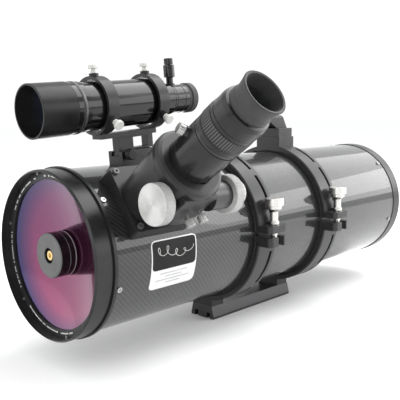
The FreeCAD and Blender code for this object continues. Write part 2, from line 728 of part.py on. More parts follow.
def focuser_body():
    """The conical housing that guides the drawtube and carries the drive shaft."""
    outer_y = -SHAFT_OFFSET - SHAFT_BUSH_R - 4
    block = box(-BLOCK_HALF, BLOCK_HALF, outer_y, -LIGHT_HOLE_R + 6, SHAFT_HEIGHT - 27, SHAFT_HEIGHT + 15)
    edges = [e for e in block.Edges if e.BoundBox.YMax < outer_y + 1]
    block = block.makeFillet(2, edges)
    room = rod(LIGHT_HOLE_R, BASE_TOP + LOWER_GUIDE, BODY_TOP - UPPER_GUIDE)
    guide = rod(DRAWTUBE_R + SLIDE_FIT, BASE_TOP - 1, BODY_TOP + 1)
    hub_room = on_shaft(rod(SHAFT_HUB_R + CLEAR, -BODY_RIM_R, -BLOCK_HALF - 2 + CLEAR))
    bores = [shaft_room(SHAFT_R + RUNNING), hub_room, side_screw_bores()]
    return body_outline().fuse(block).cut([room, guide] + bores).removeSplitter()


def shaft_room(radius):
    room = along_x(rod(radius, -80, 80))
    room.translate(Vector(0, -SHAFT_OFFSET, SHAFT_HEIGHT))
    return room


def drawtube():
    start = DRAWTUBE_TOP - DRAWTUBE_LENGTH
    wall = sleeve(DRAWTUBE_R, DRAWTUBE_BORE_R, start, DRAWTUBE_TOP)
    flat_end = BODY_TOP + FOCUS_OUT - 6
    flat = box(-30, 30, -40, -DRAWTUBE_R + FLAT_DEPTH, start - 1, flat_end)
    boss = aimed(rod(6, DRAWTUBE_R - 1.2, DRAWTUBE_R + 3), Vector(0, 0, DRAWTUBE_TOP - THUMB_SCREW_DROP),
                 thumb_direction())
    return wall.cut(flat).fuse(boss).cut(group([rod(DRAWTUBE_BORE_R, start - 1, DRAWTUBE_TOP + 1),
                                                thumb_bore()])).removeSplitter()


def thumb_direction():
    return Vector(-math.cos(math.radians(35)), math.sin(math.radians(35)), 0)


def thumb_bore():
    bore = rod(SIDE_SCREW_STEM_R + RUNNING, DRAWTUBE_BORE_R - 2, DRAWTUBE_R + 8)
    return aimed(bore, Vector(0, 0, DRAWTUBE_TOP - THUMB_SCREW_DROP), thumb_direction())


def eyepiece_thumb_screw():
    """The knurled screw that holds the eyepiece in the drawtube."""
    stem = rod(SIDE_SCREW_STEM_R, BARREL_R + CLEAR, DRAWTUBE_R + 5)
    head = fluted_knob(6, 7, 14, 0.5)
    head.translate(Vector(0, 0, DRAWTUBE_R + 3.5))
    return aimed(stem.fuse(head), Vector(0, 0, DRAWTUBE_TOP - THUMB_SCREW_DROP), thumb_direction())


def drive_shaft():
    """The cross shaft that presses on the drawtube's flat, with a knob on each end."""
    left = COARSE_KNOB_OFFSET
    right = BLOCK_HALF + HOUSING_LENGTH
    hub = rod(SHAFT_HUB_R, -left, -BLOCK_HALF - 2)
    shaft = rod(SHAFT_R, -left - COARSE_KNOB_LENGTH + 2, right + COARSE_KNOB_LENGTH)
    bore = rod(FINE_SPINDLE_R + RUNNING, right, right + COARSE_KNOB_LENGTH + 1)
    return on_shaft(shaft.fuse(hub).cut(bore))


def on_shaft(shape):
    moved = along_x(shape)
    moved.translate(Vector(0, -SHAFT_OFFSET, SHAFT_HEIGHT))
    return moved


def coarse_knobs():
    """The two large knobs, one on each end of the shaft."""
    knobs = []
    for start in (-COARSE_KNOB_OFFSET - COARSE_KNOB_LENGTH, BLOCK_HALF + HOUSING_LENGTH + CLEAR):
        knob = fluted_knob(COARSE_KNOB_R, COARSE_KNOB_LENGTH, 48, 0.25)
        knob.translate(Vector(0, 0, start))
        knobs.append(knob)
    knobs[0] = knobs[0].cut(rod(SHAFT_R, -COARSE_KNOB_OFFSET - COARSE_KNOB_LENGTH + 2, 0))
    knobs[1] = knobs[1].cut(rod(SHAFT_R, 0, 2 * SHAFT_HEIGHT))
    return group([on_shaft(knob) for knob in knobs])


def reduction_housing():
    """The planetary reduction's fixed housing on the body's right side."""
    can = rod(HOUSING_R, BLOCK_HALF, BLOCK_HALF + HOUSING_LENGTH)
    return on_shaft(can).cut([body_outline(), shaft_room(SHAFT_R + RUNNING)])


def fine_knob():
    """The small knob, whose spindle runs inside the end of the drive shaft."""
    start = BLOCK_HALF + HOUSING_LENGTH + COARSE_KNOB_LENGTH + 2 * CLEAR
    knob = fluted_knob(FINE_KNOB_R, FINE_KNOB_LENGTH, 32, 0.25)
    knob.translate(Vector(0, 0, start))
    return on_shaft(knob.fuse(rod(FINE_SPINDLE_R, start - COARSE_KNOB_LENGTH + 1, start + 1)))


def side_screw_places():
    """The drag screw and the lock screw, side by side under the shaft block."""
    return [Vector(2, 0, SHAFT_HEIGHT - 16), Vector(15, 0, SHAFT_HEIGHT - 10)]


def side_screw_bores():
    bores = []
    for place in side_screw_places():
        bores.append(aimed(rod(SIDE_SCREW_STEM_R + RUNNING, 20, 60), place, Vector(0, -1, 0)))
    return group(bores)


def side_screw(place):
    start = SHAFT_OFFSET + SHAFT_BUSH_R + 4 + 5
    stem = rod(SIDE_SCREW_STEM_R, DRAWTUBE_R + 4.5, start + 1)
    head = fluted_knob(SIDE_SCREW_HEAD_R, 9, 14, 0.5)
    head.translate(Vector(0, 0, start))
    return aimed(stem.fuse(head), place, Vector(0, -1, 0))


# ---- eyepiece, about the focuser's axis ----
BODY_START = DRAWTUBE_TOP + 0.1
BODY_END = BODY_START + EYEPIECE_BODY_LENGTH


def eyepiece_barrel():
    start = DRAWTUBE_TOP - BARREL_LENGTH
    top = BODY_START + 3
    return spun([(BARREL_R - 1.6, start), (BARREL_R, start), (BARREL_R, BODY_START),
                 (EYEPIECE_R - 0.6, BODY_START), (EYEPIECE_R - 0.6, top), (BARREL_R - 1.6, top)])


def eyepiece_body():
    start = BODY_START + 3
    bore = EYECUP_BORE_R
    return spun([(bore, start), (EYEPIECE_R - 0.3, start), (EYEPIECE_R, start + 1),
                 (EYEPIECE_R, start + 8), (EYEPIECE_R - 0.4, start + 8.3),
                 (EYEPIECE_R - 0.4, start + 22), (EYEPIECE_R, start + 22.3), (EYEPIECE_R, BODY_END - 6),
                 (EYEPIECE_R - 1.2, BODY_END - 1), (EYEPIECE_R - 4, BODY_END), (bore, BODY_END)])


def eyepiece_lenses():
    """The eye lens and the field lens."""
    return group([rod(EYECUP_BORE_R, BODY_END - 7, BODY_END - 1),
                  rod(BARREL_R - 1.6, DRAWTUBE_TOP - 12, DRAWTUBE_TOP - 4)])


def eyepiece_eyecup():
    neck = EYEPIECE_NECK_R
    end = BODY_END + EYECUP_LENGTH
    return spun([(EYECUP_BORE_R, BODY_END), (neck + 1, BODY_END), (neck + 1, BODY_END + 5),
                 (neck, BODY_END + 8), (neck, BODY_END + 12), (EYECUP_R - 0.6, end - 3),
                 (EYECUP_R, end - 1), (EYECUP_R - 1, end), (EYECUP_R - 3, end - 0.6),
                 (EYECUP_BORE_R, BODY_END + 9)])


# ---- finder, built along +X from its front rim with +Z up ----
def finder_dew_shield():
    bore = DEW_SHIELD_R - FINDER_WALL
    end = DEW_SHIELD_LENGTH
    return along_x(spun([(bore, 0), (DEW_SHIELD_R - 0.4, 0), (DEW_SHIELD_R, 0.4), (DEW_SHIELD_R, end - 0.5),
                         (DEW_SHIELD_R - 0.5, end), (bore, end)]))


def finder_objective():
    start = OBJECTIVE_SET_IN
    return along_x(rod(DEW_SHIELD_R - FINDER_WALL, start, start + OBJECTIVE_THICKNESS))


def finder_eye_lens():
    start = FINDER_LENGTH - 19
    return along_x(rod(FINDER_OCULAR_R - 3, start, start + 4))


def finder_tube():
    """The main tube, screwed into the dew shield, with the lock ring behind the shield."""
    outer = FINDER_TUBE_R
    inner = outer - FINDER_WALL
    start = OBJECTIVE_SET_IN + OBJECTIVE_THICKNESS + CLEAR
    lock = DEW_SHIELD_LENGTH + CLEAR
    end = FINDER_TUBE_END
    neck = FINDER_NECK_R
    neck_bore = neck - FINDER_WALL - 1.5
    return along_x(spun([(inner, start), (outer, start), (outer, lock), (LOCK_RING_R, lock),
                         (LOCK_RING_R, LOCK_RING_END - 0.5), (LOCK_RING_R - 0.5, LOCK_RING_END),
                         (outer, LOCK_RING_END), (outer, end - 9), (neck, end), (neck, end + 14),
                         (neck_bore, end + 14), (neck_bore, end - 2), (inner, end - 11)]))


def finder_ocular():
    """The finder's eyepiece with its reticle housing."""
    start = FINDER_TUBE_END + 14
    end = FINDER_LENGTH - 14
    ocular = spun([(FINDER_OCULAR_R - 3, start), (FINDER_OCULAR_R, start), (FINDER_OCULAR_R, end),
                   (FINDER_OCULAR_R - 3, end)])
    socket = rod(4.55, FINDER_OCULAR_R - 6, FINDER_OCULAR_R + 4)
    collar = rod(6, FINDER_OCULAR_R - 2.5, FINDER_OCULAR_R + 2)
    place = Vector(ILLUMINATOR_STATION, 0, 0)
    up = Vector(0, 0, 1)
    bore = along_x(rod(FINDER_OCULAR_R - 3, start - 1, end + 1))
    return along_x(ocular).fuse(aimed(collar, place, up)).cut([bore, aimed(socket, place, up)])


def finder_eyecup():
    start = FINDER_LENGTH - 14
    end = FINDER_LENGTH
    r = FINDER_OCULAR_R
    return along_x(spun([(r - 5, start), (r, start), (r, start + 4), (r + 1.5, start + 5),
                         (r + 1.5, end - 1), (r + 0.5, end), (r - 3, end), (r - 5, start + 5)]))


def illuminator_body():
    base = FINDER_OCULAR_R - 2
    top = base + ILLUMINATOR_LENGTH
    pin_bore = top - 6
    lamp = spun([(0, base), (4.5, base), (4.5, base + 11), (7, base + 12), (7, top),
                 (SWITCH_PIN_R + RUNNING, top), (SWITCH_PIN_R + RUNNING, pin_bore), (0, pin_bore)])
    return aimed(lamp, Vector(ILLUMINATOR_STATION, 0, 0), Vector(0, 0, 1))


def illuminator_switch():
    """The turning brightness cap on top of the illuminator."""
    base = FINDER_OCULAR_R - 2 + ILLUMINATOR_LENGTH + CLEAR
    cap = fluted_knob(5.6, 8, 16, 0.3).fuse(rod(SWITCH_PIN_R, -5, 1))
    cap.translate(Vector(0, 0, base))
    return aimed(cap, Vector(ILLUMINATOR_STATION, 0, 0), Vector(0, 0, 1))


def finder_bracket():
    """Two rings on one web, with a dovetail foot underneath."""
    width = FINDER_RING_WIDTH
    rings = []
    for station in FINDER_RING_STATIONS:
        rings.append(along_x(sleeve(FINDER_RING_R, FINDER_RING_BORE_R, station, station + width)))
        for direction in finder_screw_directions():
            boss = rod(5.5, FINDER_RING_R - 3, FINDER_RING_R + 3)
            rings.append(aimed(boss, Vector(station + width / 2, 0, 0), direction))
    first, last = (FINDER_RING_STATIONS[0] + 4, FINDER_RING_STATIONS[1] + width - 4)
    plate = box(first, last, -9, 9, -FINDER_RING_R - 5, -FINDER_RING_R + 1)
    web = box(SHOE_START + 2, last - 4, -6, 6, -SHOE_TOP_DROP, -FINDER_RING_R - 4)
    window = box(SHOE_START + 24, last - 12, -20, 20, -SHOE_TOP_DROP + 2, -FINDER_RING_R - 7)
    foot = foot_section(0, SHOE_START + 2, SHOE_START + FOOT_LENGTH)
    bracket = rings[0].fuse(rings[1:] + [plate, web, foot]).cut(window)
    scope = along_x(rod(FINDER_RING_BORE_R, first - 20, last + 20))
    return bracket.cut(group([scope] + finder_screw_bores())).removeSplitter()


def foot_section(clearance, start, end):
    """The dovetail under the bracket, or its slot when it is grown by a clearance."""
    top, bottom = (FOOT_WIDTH / 2 - 3 + clearance, FOOT_WIDTH / 2 + clearance)
    high = -SHOE_TOP_DROP + clearance
    low = -SHOE_TOP_DROP - FOOT_HEIGHT - clearance
    points = [Vector(start, -bottom, low), Vector(start, -top, high),
              Vector(start, top, high), Vector(start, bottom, low)]
    return prism(points, Vector(end - start, 0, 0))


def finder_screw_directions():
    """Up, and 30 degrees below the horizontal on each side."""
    return [Vector(0, 0, 1), Vector(0, -math.cos(math.radians(30)), -0.5),
            Vector(0, math.cos(math.radians(30)), -0.5)]


def finder_screw_bores():
    bores = []
    for station in FINDER_RING_STATIONS:
        for direction in finder_screw_directions():
            bore = rod(FINDER_SCREW_R + RUNNING, FINDER_TUBE_R, FINDER_RING_R + 10)
            bores.append(aimed(bore, Vector(station + FINDER_RING_WIDTH / 2, 0, 0), direction))
    return bores


def finder_screw(station, direction):
    """A nylon screw that bears on the finder's tube."""
    stem = rod(FINDER_SCREW_R, FINDER_TUBE_R + CLEAR, FINDER_RING_R + 9)
    collar = rod(3.6, FINDER_RING_R + 3 + CLEAR, FINDER_RING_R + 5.5)
    head = rounded_rod(FINDER_KNOB_R, FINDER_RING_R + 8, FINDER_RING_R + 12.5, 0.8)
    place = Vector(station + FINDER_RING_WIDTH / 2, 0, 0)
    return aimed(stem.fuse([collar, head]), place, direction)


def finder_shoe():
    """The shoe on the tube; its slot is open at the front, so that the bracket slides out that way."""
    half = SHOE_WIDTH / 2
    top = -SHOE_TOP_DROP - CLEAR
    block = box(SHOE_START, SHOE_START + SHOE_LENGTH, -half, half, -FINDER_RISE - 15.5, top)
    slot = foot_section(SLIDE_FIT, SHOE_START - 1, SHOE_START + FOOT_LENGTH + CLEAR)
    block = placed(block.cut(group([slot, shoe_clamp_bore()])), FINDER)
    return block.cut(along_x(rod(TUBE_R, 0, TUBE_REAR)))


def shoe_clamp_bore():
    foot = Vector(SHOE_START + 8, 0, -SHOE_TOP_DROP - 4)
    return aimed(rod(2.5 + RUNNING, 2, 40), foot, Vector(0, -1, 0))


def shoe_clamp_screw():
    foot = Vector(SHOE_START + 8, 0, -SHOE_TOP_DROP - 4)
    half = SHOE_WIDTH / 2
    stem = rod(2.5, FOOT_WIDTH / 2 + CLEAR, half + 4)
    head = fluted_knob(6.5, 8, 14, 0.5)
    head.translate(Vector(0, 0, half + 2))
    return aimed(stem.fuse(head), foot, Vector(0, -1, 0))


# ---- output ----
def save(name, shape, place=None):
    """Write one named piece in the object's own frame."""
    piece = shape.copy() if place is None else placed(shape, place)
    piece.translate(TO_ORIGIN)
    solids = piece.Solids
    for solid in solids:
        if solid.Volume < 0:
            solid.reverse()
    kept = solids[0] if len(solids) == 1 else Part.makeCompound(solids)
    kept.exportStep(os.path.join("parts", name + ".step"))


def save_tube():
    save("carbon_tube", carbon_tube())
    save("front_cell", front_cell().cut(cell_screws()))
    save("retaining_ring", retaining_ring().cut(retaining_screws()))
    save("corrector_lens", corrector_lens())
    save("cell_screws", cell_screws())
    save("rear_cell", rear_cell())


def save_optics():
    save("secondary_cap", secondary_cap())
    save("secondary_bolt", secondary_bolt())
    save("secondary_holder", secondary_holder())
    save("secondary_mirror", secondary_mirror())
    save("primary_mirror", primary_mirror())
    save("mirror_plate", mirror_plate())
    save("mirror_clips", mirror_clips())
    save("rear_backplate", rear_backplate())
    for name, foot in zip(("top", "far", "near"), collimation_places()):
        save("collimation_knob_" + name, collimation_knob(foot))


def save_rings():
    for name, start in zip(("front", "rear"), RING_STARTS):
        save(name + "_ring_lower", lower_ring(start))
        save(name + "_ring_upper", upper_ring(start))
        save(name + "_clamp_screw", clamp_screw(start))
    save("felt_liners_lower", felt_liners(False))
    save("felt_liners_upper", felt_liners(True))
    save("hinge_pins", hinge_pins())
    save("carry_handle", carry_handle())
    save("dovetail_bar", dovetail_bar())
    save("bar_screws", bar_screws())


def save_focuser():
    save("focuser_base", focuser_base(), FOCUSER)
    save("base_screws", base_screws(), FOCUSER)
    save("focuser_body", focuser_body(), FOCUSER)
    save("drawtube", drawtube(), FOCUSER)
    save("eyepiece_thumb_screw", eyepiece_thumb_screw(), FOCUSER)
    save("drive_shaft", drive_shaft(), FOCUSER)
    save("coarse_knobs", coarse_knobs(), FOCUSER)
    save("reduction_housing", reduction_housing(), FOCUSER)
    save("fine_knob", fine_knob(), FOCUSER)
    for name, place in zip(("drag_screw", "lock_screw"), side_screw_places()):
        save("focuser_" + name, side_screw(place), FOCUSER)


def save_eyepiece():
    save("eyepiece_barrel", eyepiece_barrel(), FOCUSER)
    save("eyepiece_body", eyepiece_body(), FOCUSER)
    save("eyepiece_lenses", eyepiece_lenses(), FOCUSER)
    save("eyepiece_eyecup", eyepiece_eyecup(), FOCUSER)


def save_finder():
    save("finder_dew_shield", finder_dew_shield(), FINDER)
    save("finder_objective", finder_objective(), FINDER)
    save("finder_eye_lens", finder_eye_lens(), FINDER)
    save("finder_tube", finder_tube(), FINDER)
    save("finder_ocular", finder_ocular(), FINDER)
    save("finder_eyecup", finder_eyecup(), FINDER)
    save("illuminator_body", illuminator_body(), FINDER)
    save("illuminator_switch", illuminator_switch(), FINDER)
    save("finder_bracket", finder_bracket(), FINDER)
    save("finder_shoe", finder_shoe())
    save("shoe_clamp_screw", shoe_clamp_screw(), FINDER)
    top, near, far = finder_screw_directions()
    for end, station in zip(("front", "rear"), FINDER_RING_STATIONS):
        save("finder_screw_" + end + "_top", finder_screw(station, top), FINDER)
        save("finder_screw_" + end + "_near", finder_screw(station, near), FINDER)
    save("finder_screws_far", group([finder_screw(s, far) for s in FINDER_RING_STATIONS]), FINDER)


os.makedirs("parts", exist_ok=True)
save_tube()
save_optics()
save_rings()
save_focuser()
save_eyepiece()
save_finder()
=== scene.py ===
import bmesh
import bpy
import math
import random

from mathutils import Matrix, Vector


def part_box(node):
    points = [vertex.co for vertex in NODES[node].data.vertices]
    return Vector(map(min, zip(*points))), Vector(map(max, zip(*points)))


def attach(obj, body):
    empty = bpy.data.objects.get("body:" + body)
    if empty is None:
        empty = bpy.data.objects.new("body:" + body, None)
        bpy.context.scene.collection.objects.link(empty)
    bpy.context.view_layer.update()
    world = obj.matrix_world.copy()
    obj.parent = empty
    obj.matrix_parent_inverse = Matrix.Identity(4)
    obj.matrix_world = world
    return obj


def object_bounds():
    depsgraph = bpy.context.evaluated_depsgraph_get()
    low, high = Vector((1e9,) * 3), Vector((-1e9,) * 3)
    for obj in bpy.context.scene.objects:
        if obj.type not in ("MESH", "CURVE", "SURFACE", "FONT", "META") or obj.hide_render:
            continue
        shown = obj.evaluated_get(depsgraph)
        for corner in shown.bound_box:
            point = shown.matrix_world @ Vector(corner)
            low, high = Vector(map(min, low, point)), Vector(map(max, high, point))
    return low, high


# A Maksutov-Newtonian telescope tube: materials for the CAD nodes, and the pieces that are only
# seen, which are the label, the marks on the front ring, and the grips and lines of the eyepiece and
# finder. Metres; +X runs along the tube to its rear, +Z is up.

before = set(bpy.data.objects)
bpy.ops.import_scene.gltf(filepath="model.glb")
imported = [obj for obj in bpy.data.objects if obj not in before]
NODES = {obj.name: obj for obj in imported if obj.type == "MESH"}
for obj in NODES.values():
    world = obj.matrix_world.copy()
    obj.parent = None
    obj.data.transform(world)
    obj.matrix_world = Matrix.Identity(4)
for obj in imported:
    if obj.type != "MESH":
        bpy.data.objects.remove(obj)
CAD_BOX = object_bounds()


def middle(node):
    low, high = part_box(node)
    return (low + high) / 2


TUBE_LOW, TUBE_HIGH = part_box("carbon_tube")
TUBE_R = (TUBE_HIGH.y - TUBE_LOW.y) / 2
AXIS_Z = (TUBE_LOW.z + TUBE_HIGH.z) / 2
FRONT_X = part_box("front_cell")[0].x
FOCUSER_X = middle("drawtube").x
FOCUSER_ANGLE = math.radians(34.8)
OUT = Vector((0, -math.cos(FOCUSER_ANGLE), math.sin(FOCUSER_ANGLE)))
FOCUSER_FOOT = Vector((FOCUSER_X, 0, AXIS_Z))
FINDER_PITCH = math.radians(4)

EYEPIECE_R = 0.027
OCULAR_R = 0.0178
LOCK_RING_R = 0.0289
COARSE_KNOB_FACE_R = 0.0205

LABEL_AT = 0.076
LABEL_LENGTH = 0.07
LABEL_LOW = -0.041
LABEL_HIGH = 0.018
LABEL_FOOT = 0.024
LABEL_EDGE = 0.0016

# The camera stands off the centre of the front lip and is turned about Z, tipped down and rolled.
CAMERA_OFFSET = Vector((-0.36824, -0.61088, 0.15734))
CAMERA_TURN = math.radians(44.6269)
CAMERA_DIP = math.radians(7.888)
CAMERA_ROLL = math.radians(0.8644)
CAMERA_LENS = 56.64


# ---- node helpers ----
class Shader:
    """A node material with short ways to add and join nodes."""

    def __init__(self, name):
        self.material = bpy.data.materials.new(name)
        self.material.use_nodes = True
        self.tree = self.material.node_tree
        self.surface = self.tree.nodes["Principled BSDF"]
        self.place = self.add("ShaderNodeTexCoord").outputs["Object"]

    def add(self, kind, **values):
        node = self.tree.nodes.new(kind)
        for name, value in values.items():
            setattr(node, name, value)
        return node

    def join(self, source, target):
        self.tree.links.new(source, target)

    def put(self, socket, value):
        if isinstance(value, bpy.types.NodeSocket):
            self.join(value, socket)
        else:
            socket.default_value = value

    def set(self, **values):
        """Set or feed inputs of the surface shader, such as base_color=..."""
        for name, value in values.items():
            title = name.replace("_", " ").title().replace("Ior", "IOR")
            self.put(self.surface.inputs[title], value)
        return self

    def math(self, operation, a, b=0.0, c=0.0):
        node = self.add("ShaderNodeMath", operation=operation)
        for socket, value in zip(node.inputs, (a, b, c)):
            self.put(socket, value)
        return node.outputs[0]

    def noise(self, scale, detail=3.0, roughness=0.5, place=None):
        node = self.add("ShaderNodeTexNoise")
        self.join(place or self.place, node.inputs["Vector"])
        node.inputs["Scale"].default_value = scale
        node.inputs["Detail"].default_value = detail
        node.inputs["Roughness"].default_value = roughness
        return node.outputs[0]

    def ramp(self, factor, low, high, first, last):
        """Map a factor between low and high to a value between first and last."""
        node = self.add("ShaderNodeMapRange")
        for socket, value in zip(node.inputs, (factor, low, high, first, last)):
            self.put(socket, value)
        return node.outputs[0]

    def blend(self, factor, dark, light):
        node = self.add("ShaderNodeMix", data_type="RGBA")
        self.put(node.inputs["Factor"], factor)
        for socket, value in ((node.inputs[6], dark), (node.inputs[7], light)):
            self.put(socket, value if isinstance(value, bpy.types.NodeSocket) else (*value, 1))
        return node.outputs[2]

    def shifted(self, offset, scale=(1, 1, 1)):
        """Object coordinates moved and scaled."""
        node = self.add("ShaderNodeMapping")
        node.inputs["Location"].default_value = offset
        node.inputs["Scale"].default_value = scale
        self.join(self.place, node.inputs["Vector"])
        return node.outputs[0]

    def parts(self, vector):
        node = self.add("ShaderNodeSeparateXYZ")
        self.join(vector, node.inputs[0])
        return node.outputs

    def around(self, axis_z):
        """The angle about the tube's axis, in radians, and the distance along it."""
        x, y, z = self.parts(self.place)
        return self.math("ARCTAN2", self.math("SUBTRACT", z, axis_z), y), x

    def relief(self, height, distance, edge=0.0):
        """A bump, over rounded edges if edge is above 0."""
        bump = self.add("ShaderNodeBump")
        bump.inputs["Distance"].default_value = distance
        self.join(height, bump.inputs["Height"])
        if edge:
            bevel = self.add("ShaderNodeBevel", samples=4)
            bevel.inputs["Radius"].default_value = edge
            self.join(bevel.outputs[0], bump.inputs["Normal"])
        self.join(bump.outputs[0], self.surface.inputs["Normal"])
        return self


# ---- materials ----
def painted(name, color, roughness, grain=1400.0, lift=0.5, coat=0.0, specular=0.3, bump=0.00002):
    """Powder coat or plastic: a fine grain, cloudy gloss and dust that varies slowly."""
    s = Shader(name)
    cloud = s.noise(38.0, 5.0, 0.6)
    fine = s.noise(grain, 2.0)
    lighter = [min(1.0, c * (1 + lift) + 0.004) for c in color]
    s.set(base_color=s.blend(s.ramp(cloud, 0.35, 0.7, 0, 1), color, lighter), coat_weight=coat,
          coat_roughness=0.06, roughness=s.ramp(cloud, 0.3, 0.7, roughness - 0.05, roughness + 0.07),
          specular_ior_level=specular)
    return s.relief(fine, bump, 0.0005).material


def turned_metal(name, color, roughness, axis="X", metallic=1.0, streak=2600.0):
    """Metal with fine turning or brushing lines across one axis."""
    s = Shader(name)
    scale = {"X": (1, 0.03, 0.03), "Y": (0.03, 1, 0.03), "Z": (0.03, 0.03, 1)}[axis]
    lines = s.noise(streak, 2.0, 0.6, s.shifted((0, 0, 0), scale))
    smudge = s.noise(60.0, 4.0)
    darker = [c * 0.8 for c in color]
    s.set(base_color=s.blend(lines, darker, color), metallic=metallic,
          roughness=s.ramp(smudge, 0.3, 0.7, roughness - 0.05, roughness + 0.08))
    return s.relief(lines, 0.00002, 0.0003).material


def carbon():
    """Two-by-two twill under clear lacquer, laid round the tube."""
    s = Shader("carbon_twill")
    tow = 0.0016
    turns = round(2 * math.pi * TUBE_R / tow / 4) * 4
    angle, along = s.around(AXIS_Z)
    u = s.math("MULTIPLY", angle, turns / (2 * math.pi))
    v = s.math("DIVIDE", along, tow)
    step = s.math("SUBTRACT", s.math("FLOOR", u), s.math("FLOOR", v))
    over = s.math("LESS_THAN", s.math("FLOORED_MODULO", s.math("ADD", step, 0.25), 4.0), 2.0)
    across_u = s.math("SINE", s.math("MULTIPLY", s.math("FRACT", u), math.pi))
    across_v = s.math("SINE", s.math("MULTIPLY", s.math("FRACT", v), math.pi))
    threads_u = s.math("SINE", s.math("MULTIPLY", u, 2 * math.pi * 7))
    threads_v = s.math("SINE", s.math("MULTIPLY", v, 2 * math.pi * 7))
    crown = s.math("ADD", s.math("MULTIPLY", over, across_u),
                   s.math("MULTIPLY", s.math("SUBTRACT", 1.0, over), across_v))
    thread = s.math("ADD", s.math("MULTIPLY", over, threads_u),
                    s.math("MULTIPLY", s.math("SUBTRACT", 1.0, over), threads_v))
    # Painted reflection: the tows lying on top are lighter than the ones beneath, and each tow is lighter
    # along its crown than at its edges.
    shade = s.math("ADD", s.math("MULTIPLY", over, 0.55), s.math("MULTIPLY", crown, 0.3))
    shade = s.math("ADD", shade, s.math("MULTIPLY", thread, 0.06))
    drift = s.ramp(s.noise(22.0, 3.0), 0.3, 0.7, -0.06, 0.08)
    color = s.blend(s.math("ADD", shade, drift), (0.003, 0.0031, 0.0034), (0.034, 0.0345, 0.035))
    s.set(base_color=color, roughness=0.34, metallic=0.15, specular_ior_level=0.15, coat_weight=1.0,
          coat_roughness=0.03, coat_ior=1.45)
    height = s.math("ADD", crown, s.math("MULTIPLY", thread, 0.1))
    return s.relief(height, 0.00006).material


def corrector():
    """Coated glass: a tinted mirror for part of the light, clear for the rest."""
    s = Shader("corrector_coating")
    _, y, z = s.parts(s.place)
    up = s.ramp(z, AXIS_Z - TUBE_R, AXIS_Z + TUBE_R, 0, 1)
    # Painted shade: a dark bluish rim round the edge, centred off the axis so it is wider on the +Y side.
    aside = s.math("ADD", y, 0.012)
    radius = s.math("SQRT", s.math("ADD", s.math("POWER", aside, 2.0),
                                   s.math("POWER", s.math("SUBTRACT", z, AXIS_Z), 2.0)))
    rim = s.ramp(radius, 0.07, 0.094, 0, 1)
    # Painted reflection: the tint is lighter and pinker towards the bottom, where the floor would be
    # reflected, and darker purple towards the top.
    body = s.blend(up, (0.23, 0.045, 0.105), (0.11, 0.022, 0.09))
    haze = s.ramp(s.noise(14.0, 3.0), 0.3, 0.7, 0.16, 0.22)
    s.set(base_color=s.blend(rim, body, (0.03, 0.025, 0.09)), metallic=0.9, roughness=haze, alpha=0.94,
          coat_weight=0.5, coat_roughness=0.02)
    return s.material


def lens_glass(name, color):
    s = Shader(name)
    s.set(base_color=s.blend(s.noise(30.0), color, [c * 1.6 for c in color]), roughness=0.03, metallic=0.2,
          coat_weight=1.0, coat_roughness=0.01, ior=1.7)
    return s.material


def mirror_coating():
    s = Shader("mirror_coating")
    s.set(base_color=s.blend(s.noise(9.0), (0.88, 0.9, 0.91), (0.93, 0.94, 0.95)), metallic=1.0,
          roughness=s.ramp(s.noise(60.0), 0.3, 0.7, 0.01, 0.03))
    return s.material


def holder_cap():
    """A dull grey front face, and black sides with two bright lines round them."""
    s = Shader("holder_cap")
    depth = s.math("SUBTRACT", s.parts(s.place)[0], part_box("secondary_cap")[0].x)
    front = s.math("LESS_THAN", depth, 0.0012)
    grey = s.blend(s.noise(50.0, 5.0), (0.07, 0.071, 0.07), (0.12, 0.122, 0.12))
    near_edge = s.math("COMPARE", depth, 0.0125, 0.0005)
    far_edge = s.math("COMPARE", depth, 0.0195, 0.0007)
    line = s.math("ADD", near_edge, far_edge)
    side = s.blend(line, (0.004, 0.004, 0.004), (0.3, 0.3, 0.3))
    s.set(base_color=s.blend(front, side, grey), roughness=s.ramp(front, 0, 1, 0.25, 0.5),
          specular_ior_level=0.25)
    return s.relief(s.noise(1500.0), 0.00003, 0.0004).material


def barrel():
    """Turned chrome inside the drawtube and black anodising on the flange above it."""
    s = Shader("eyepiece_barrel")
    _, y, z = s.parts(s.place)
    out = s.math("ADD", s.math("MULTIPLY", y, OUT.y), s.math("MULTIPLY", z, OUT.z))
    end = max(v.co.dot(OUT) for v in NODES["eyepiece_barrel"].data.vertices)
    flange = s.math("GREATER_THAN", out, end - 0.0031)
    lines = s.noise(2600.0, 2.0, 0.6, s.shifted((0, 0, 0), (0.03, 1, 1)))
    chrome = s.blend(lines, (0.5, 0.5, 0.51), (0.66, 0.66, 0.67))
    s.set(base_color=s.blend(flange, chrome, (0.01, 0.01, 0.01)), roughness=0.22,
          metallic=s.math("SUBTRACT", 1.0, flange))
    return s.relief(lines, 0.00002, 0.0003).material


def felt():
    s = Shader("felt")
    fibres = s.noise(900.0, 6.0, 0.7)
    s.set(base_color=s.blend(fibres, (0.006, 0.006, 0.006), (0.03, 0.03, 0.032)), roughness=0.95,
          sheen_weight=0.4)
    return s.relief(fibres, 0.0003).material


def rubber(name="rubber", roughness=0.55):
    s = Shader(name)
    dust = s.noise(45.0, 6.0, 0.65)
    s.set(base_color=s.blend(s.ramp(dust, 0.4, 0.75, 0, 1), (0.012, 0.012, 0.012), (0.026, 0.0255, 0.025)),
          roughness=s.ramp(dust, 0.3, 0.7, roughness, roughness + 0.15), sheen_weight=0.08)
    return s.relief(s.noise(2200.0), 0.00004, 0.0006).material


